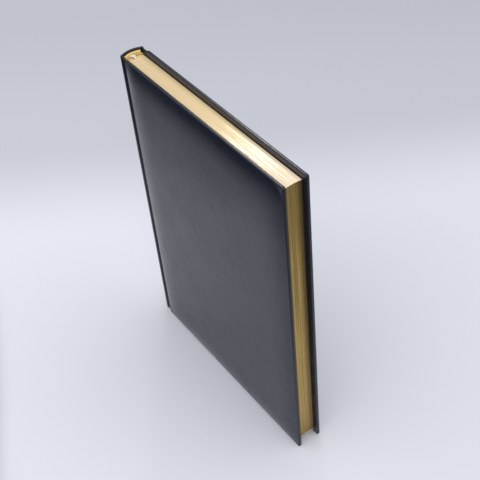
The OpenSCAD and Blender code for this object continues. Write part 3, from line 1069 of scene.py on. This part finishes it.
class PLANNER_OT_spine(Operator):
    """Rounded skin of the spine, folded over at head and tail"""
    bl_idname = "planner.spine"
    bl_label = "Spine"

    def execute(self, context):
        material = shared_leather()
        points, faces = spine_mesh(context.scene.planner_spine)
        obj = add_piece("spine_leather", points, faces, material, SKIN - 0.02 * MM, 50)
        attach(obj, "root")
        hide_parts("spine_skin")
        return {"FINISHED"}


class PLANNER_OT_grooves(Operator):
    """Skin in the grooves, where the covers turn"""
    bl_idname = "planner.grooves"
    bl_label = "Grooves"

    def execute(self, context):
        material = shared_leather()
        points, faces = groove_mesh(context.scene.planner_spine)
        for side, body, here, over in sides(points, faces):
            obj = add_piece(f"{side}_groove_skin", here, over, material, SKIN - 0.03 * MM, 50)
            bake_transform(obj)
        return {"FINISHED"}


class PLANNER_OT_endpapers(Operator):
    """Dark endpapers: the glued halves, which run across the hinges, and the loose leaves"""
    bl_idname = "planner.endpapers"
    bl_label = "Endpapers"

    def execute(self, context):
        glued, loose = endpaper_finish(True), endpaper_finish(False)
        points, faces = pastedown_mesh(context.scene.planner_covers)
        for side, body, here, over in sides(points, faces):
            obj = add_piece(f"{side}_pasted_paper", here, over, glued, PAPER)
            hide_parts(f"{side}_pastedown")
            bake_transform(obj)
            dress_solid(f"{side}_flyleaf", loose)
        return {"FINISHED"}


class PLANNER_OT_pages(Operator):
    """Gilt pages, parted a little where the ribbon lies"""
    bl_idname = "planner.pages"
    bl_label = "Pages"

    def execute(self, context):
        points, faces = pages_mesh(context.scene.planner_pages)
        obj = add_piece("gilt_pages", points, faces, gilt_finish(), sharp=30)
        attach(obj, "root")
        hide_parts("page_block")
        return {"FINISHED"}


class PLANNER_OT_headbands(Operator):
    """Silk headbands at the head and the tail of the block"""
    bl_idname = "planner.headbands"
    bl_label = "Headbands"

    def execute(self, context):
        material = thread_finish()
        points, faces = headband_mesh(context.scene.planner_bands)
        flipped = points * np.array([1, 1, -1]) + np.array([0, 0, COVER_H])
        turned = [tuple(reversed(face)) for face in faces]
        for name, here, over in (("head_band", points, faces), ("tail_band", flipped, turned)):
            obj = add_piece(f"{name}_silk", here, over, material)
            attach(obj, "root")
            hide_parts(name)
        return {"FINISHED"}


class PLANNER_OT_ribbon(Operator):
    """Ribbon marker between the pages"""
    bl_idname = "planner.ribbon"
    bl_label = "Ribbon"

    def execute(self, context):
        look = context.scene.planner_bands
        points, faces = ribbon_mesh(look)
        obj = add_piece("satin_ribbon", points, faces, satin_finish(), look.ribbon_depth)
        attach(obj, "root")
        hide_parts("ribbon_marker")
        return {"FINISHED"}


def dress_solid(name, material):
    """Gives a solid of the frame its finish and leaves its shape as it is."""
    obj = frame["nodes"][name]
    obj.data.materials.clear()
    obj.data.materials.append(material)


def floor_finish(look):
    """Matt paper with painted light and shade: painted shade far behind the planner, towards the right and,
    out of view, in front of it, and painted light just before the front cover.
    """
    finish = Finish("floor_paper")
    spot = finish.add("TexCoord", {}, "Object")
    behind = finish.along(spot, (-0.85, 0.53, 0))
    before = finish.along(spot, (-0.433, -0.90, 0))
    tone = finish.mixed(finish.ranged(behind, -0.09, 0.10, 0, 1, True), look.near_floor, look.floor)
    # Painted shade: the floor darkens far behind the planner, where less light reaches it
    tone = finish.mixed(finish.ranged(behind, 0.14, 0.27, 0, 0.75, True), tone, look.shaded_far_floor)
    tone = finish.mixed(finish.ranged(behind, 0.25, 0.50, 0, 1, True), tone, look.shaded_far_floor)
    # Painted light: the floor just before the front cover is painted brighter, against the planner's shadow
    # there
    lit_in_front = finish.ranged(behind, -0.10, 0.02, 1, 0, True)
    lit_in_front = finish.times(lit_in_front, finish.ranged(before, -0.06, 0.09, 0, 1, True))
    tone = finish.mixed(lit_in_front, tone, look.lit_front_floor)
    # Painted shade: the floor darkens a little towards the right
    across = finish.along(spot, (0.55, 0.83, 0))
    tone = finish.mixed(finish.ranged(across, -0.35, 0.45, 0, 0.09, True), tone, look.shade)
    near = finish.along(spot, (0, -1, 0))
    unlit = finish.ranged(near, 0.075, 0.150, 0, 0.64, True)
    unlit = finish.times(unlit, finish.ranged(before, 0.150, 0.180, 0, 1, True))
    beside = finish.along(spot, (0.707, 0.707, 0))
    unlit = finish.most(unlit, finish.ranged(beside, 0.20, 0.27, 0, 0.35, True))
    unlit = finish.most(unlit, finish.ranged(near, 0.150, 0.250, 0, 1, True))
    right = finish.along(spot, (0.779, -0.626, 0))
    unlit = finish.most(unlit, finish.ranged(right, 0.094, 0.16, 0, 0.6, True))
    tone = finish.mixed(unlit, tone, look.shade)
    grain = finish.noise(finish.add("VectorMath", {0: spot, "Scale": 1 / MM}, operation="SCALE"), 0.4, 4)
    rough = finish.ranged(grain, 0.3, 0.7, 0.75, 0.85)
    return finish.done(tone, rough, grain, 0.02 * MM, 0.2, Specular_IOR_Level=0.15)


def add_softbox(power):
    """A square lamp behind the planner that lights the head of the pages."""
    lamp = bpy.data.lights.new("softbox", "AREA")
    lamp.shape = "RECTANGLE"
    lamp.size = SOFTBOX_SIZE
    lamp.size_y = SOFTBOX_SIZE
    lamp.energy = power
    lamp.color = SOFTBOX_COLOUR
    obj = bpy.data.objects.new("softbox", lamp)
    obj.location = SOFTBOX_PLACE
    obj.rotation_mode = "QUATERNION"
    obj.rotation_quaternion = (Vector(SOFTBOX_AIM) - Vector(SOFTBOX_PLACE)).to_track_quat("-Z", "Y")
    bpy.context.collection.objects.link(obj)


class PLANNER_OT_stage(Operator):
    """Plain floor, soft lamps, the light of the room and the camera"""
    bl_idname = "planner.stage"
    bl_label = "Stage"

    def execute(self, context):
        scene, look = context.scene, context.scene.planner_stage
        half_width, count = 4.0, 9
        places = np.linspace(-half_width, half_width, count)
        x, y = np.meshgrid(places, places)
        points = np.stack([x, y, 0 * x], axis=-1).reshape(-1, 3)
        mesh = bpy.data.meshes.new("floor")
        mesh.from_pydata([tuple(p) for p in points], [], grid_faces(count, count))
        mesh.materials.append(floor_finish(look))
        floor = bpy.data.objects.new("floor", mesh)
        context.collection.objects.link(floor)

        world = bpy.data.worlds.new("room")
        world.use_nodes = True
        nodes, links = world.node_tree.nodes, world.node_tree.links
        spot = nodes.new("ShaderNodeTexCoord")
        facing = nodes.new("ShaderNodeVectorMath")
        facing.operation = "DOT_PRODUCT"
        facing.inputs[1].default_value = ROOM_BRIGHT_SIDE
        share = nodes.new("ShaderNodeMapRange")
        share.interpolation_type = "SMOOTHSTEP"
        share.inputs["From Min"].default_value = 0.0
        share.inputs["From Max"].default_value = 0.95
        tone = nodes.new("ShaderNodeMix")
        tone.data_type = "RGBA"
        tone.inputs[COLOUR_A].default_value = ROOM_DIM
        tone.inputs[COLOUR_B].default_value = ROOM_BRIGHT
        links.new(spot.outputs["Generated"], facing.inputs[0])
        links.new(facing.outputs["Value"], share.inputs["Value"])
        links.new(share.outputs[0], tone.inputs[0])
        links.new(tone.outputs[COLOUR_OUT], nodes["Background"].inputs["Color"])
        nodes["Background"].inputs["Strength"].default_value = look.sky
        scene.world = world

        add_softbox(look.key)

        camera = bpy.data.objects.new("camera", bpy.data.cameras.new("camera"))
        look_along = Vector(CAMERA_VIEW).normalized()
        down = Vector(CAMERA_DOWN)
        right = down.cross(look_along).normalized()
        up = right.cross(look_along).normalized()
        turn = Matrix((right, up, -look_along)).transposed()
        camera.matrix_world = Matrix.Translation(Vector(CAMERA_PLACE) * MM) @ turn.to_4x4()
        camera.data.sensor_width = SENSOR_WIDTH
        camera.data.lens = SENSOR_WIDTH * FOCAL_LENGTH / PICTURE_WIDTH
        camera.data.clip_start = 0.01
        camera.data.clip_end = 50
        context.collection.objects.link(camera)
        scene.camera = camera
        scene.view_settings.view_transform = "Standard"
        return {"FINISHED"}


STEPS = (
    PLANNER_OT_stage,
    PLANNER_OT_hidden_card,
    PLANNER_OT_cover_foam,
    PLANNER_OT_cover_skins,
    PLANNER_OT_spine,
    PLANNER_OT_grooves,
    PLANNER_OT_endpapers,
    PLANNER_OT_pages,
    PLANNER_OT_headbands,
    PLANNER_OT_ribbon,
)

LOOKS = {
    "planner_covers": PlannerCovers,
    "planner_spine": PlannerSpine,
    "planner_pages": PlannerPages,
    "planner_bands": PlannerBands,
    "planner_stage": PlannerStage,
}


class PLANNER_PT_panel(Panel):
    """Lists the planner's pieces with their sizes and colours"""
    bl_idname = "PLANNER_PT_panel"
    bl_label = "Planner"
    bl_space_type = "VIEW_3D"
    bl_region_type = "UI"
    bl_category = "Planner"

    def draw(self, context):
        column = self.layout.column()
        for name, group in LOOKS.items():
            box = column.box()
            looks = getattr(context.scene, name)
            for key in group.__annotations__:
                box.prop(looks, key)
        for step in STEPS:
            column.operator(step.bl_idname)


def register():
    for group in LOOKS.values():
        bpy.utils.register_class(group)
    for name, group in LOOKS.items():
        setattr(bpy.types.Scene, name, PointerProperty(type=group))
    for step in STEPS:
        bpy.utils.register_class(step)
    bpy.utils.register_class(PLANNER_PT_panel)


def unregister():
    bpy.utils.unregister_class(PLANNER_PT_panel)
    for step in reversed(STEPS):
        bpy.utils.unregister_class(step)
    for name, group in LOOKS.items():
        delattr(bpy.types.Scene, name)
        bpy.utils.unregister_class(group)


def main():
    register()
    for step in STEPS:
        area, name = step.bl_idname.split(".")
        getattr(getattr(bpy.ops, area), name)()


if __name__ == "__main__":
    main()
